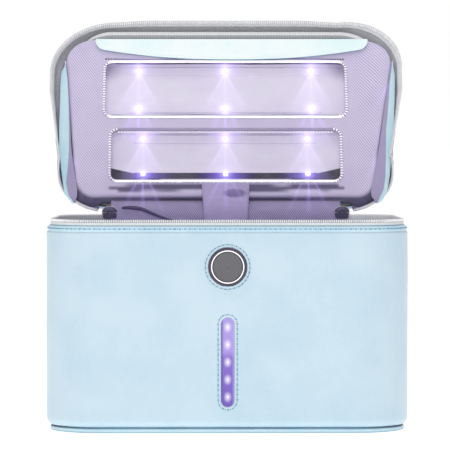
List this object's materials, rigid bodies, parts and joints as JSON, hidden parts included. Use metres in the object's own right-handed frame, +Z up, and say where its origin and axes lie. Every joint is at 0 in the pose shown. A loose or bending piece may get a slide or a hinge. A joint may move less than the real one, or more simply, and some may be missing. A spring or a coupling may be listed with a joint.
{
  "type": "uv sanitizer box for phones",
  "caption": "Soft-sided zip-round sanitizer box with a hinged lid that holds a lamp panel behind clear windows, a round push button and a lit level window.",
  "frame": {"origin": "centre of the base, on the surface it stands on", "axes": "+Z up, -Y towards the front wall with the button, +X to the viewer's right"},
  "size_m": [0.3542, 0.3296, 0.3878],
  "materials": {
    "leather": "soft matte, fine grain",
    "leather_trim": "soft matte, stitched",
    "flap_leather": "soft matte",
    "welt": "matte",
    "board": "matte",
    "lining": "diagonal twill",
    "shade_lining": "diagonal twill",
    "zip_tape": "woven tape",
    "zip_coil": "moulded nylon coil",
    "bezel": "gloss",
    "light_ring": "lit diffuser",
    "button_cap": "satin",
    "spring_steel": "bright",
    "nut_metal": "turned",
    "indicator_lens": "tinted, lit",
    "lamp": "lit",
    "circuit_board": "satin",
    "inner_housing": "satin",
    "reflector": "bright film",
    "clear_window": "clear film",
    "bead": "ribbed",
    "slider_metal": "cast, plated"
  },
  "bodies": {
    "body": {"base_panel": "leather_trim", "base_board": "board", "base_welt": "welt", "body_shell": "leather", "body_board": "board", "body_lining": "lining", "floor_lining": "lining", "rim_collar": "leather_trim", "body_zip_tape": "zip_tape", "body_zip_coil": "zip_coil", "button_bezel": "bezel", "button_light_ring": "light_ring", "button_spring": "spring_steel", "switch_body": "bezel", "button_nut": "nut_metal", "indicator_lens": "indicator_lens", "indicator_lamps": "lamp", "indicator_board": "circuit_board", "control_board": "circuit_board", "control_cover": "inner_housing", "power_inlet": "bezel", "inlet_board": "circuit_board", "inlet_cover": "inner_housing", "wall_lead": "bezel", "hinge_strip": "leather", "hinge_lining": "shade_lining", "lead_sleeve": "lining"},
    "button": {"power_button": "button_cap"},
    "lid": {"lid_cover": "leather", "lid_board": "board", "lid_zip_tape": "zip_tape", "lid_zip_coil": "zip_coil", "panel_backing": "board", "panel_lining": "lining", "reflector_upper": "reflector", "reflector_lower": "reflector", "lamp_strips_upper": "circuit_board", "lamp_strips_lower": "circuit_board", "lamps_upper": "lamp", "lamps_lower": "lamp", "window_upper": "clear_window", "window_lower": "clear_window", "window_bead_upper": "bead", "window_bead_lower": "bead"},
    "front_flap": {"front_flap": "flap_leather"},
    "left_flap": {"left_flap": "flap_leather"},
    "right_flap": {"right_flap": "flap_leather"},
    "slider_left": {"slider_left": "slider_metal"},
    "slider_right": {"slider_right": "slider_metal"},
    "pull_left": {"pull_left": "slider_metal"},
    "pull_right": {"pull_right": "slider_metal"}
  },
  "joints": [
    {"name": "lid_hinge", "type": "hinge", "parent": "body", "child": "lid", "pos_m": [0, 0.1025, 0.205], "axis": [1, 0, 0], "range_deg": [0, 123], "deforming": ["hinge_strip", "hinge_lining", "lead_sleeve"]},
    {"name": "front_flap_hinge", "type": "hinge", "parent": "lid", "child": "front_flap", "pos_m": [0, 0.20319, 0.36831], "axis": [-1, 0, 0], "range_deg": [0, 90]},
    {"name": "left_flap_hinge", "type": "hinge", "parent": "lid", "child": "left_flap", "pos_m": [-0.1556, 0.18423, 0.33912], "axis": [-0.086, 0.5426, 0.8356], "range_deg": [0, 158]},
    {"name": "right_flap_hinge", "type": "hinge", "parent": "lid", "child": "right_flap", "pos_m": [0.1556, 0.18423, 0.33912], "axis": [-0.086, -0.5426, -0.8356], "range_deg": [0, 158]},
    {"name": "button_press", "type": "slide", "parent": "body", "child": "button", "axis": [0, 1, 0], "range_m": [0, 0.0008], "stiffness_N_per_m": 600, "springref_m": -0.002, "deforming": ["button_spring"]},
    {"name": "slider_left_travel", "type": "hinge", "parent": "body", "child": "slider_left", "pos_m": [-0.113, 0.0505, 0.195], "axis": [0, 0, 1], "range_deg": [0, 90]},
    {"name": "slider_right_travel", "type": "hinge", "parent": "body", "child": "slider_right", "pos_m": [0.113, 0.0505, 0.195], "axis": [0, 0, -1], "range_deg": [0, 90]},
    {"name": "pull_left_swing", "type": "hinge", "parent": "slider_left", "child": "pull_left", "pos_m": [-0.113, 0.104, 0.194], "axis": [1, 0, 0], "range_deg": [0, 95]},
    {"name": "pull_right_swing", "type": "hinge", "parent": "slider_right", "child": "pull_right", "pos_m": [0.113, 0.104, 0.194], "axis": [1, 0, 0], "range_deg": [0, 95]}
  ]
}
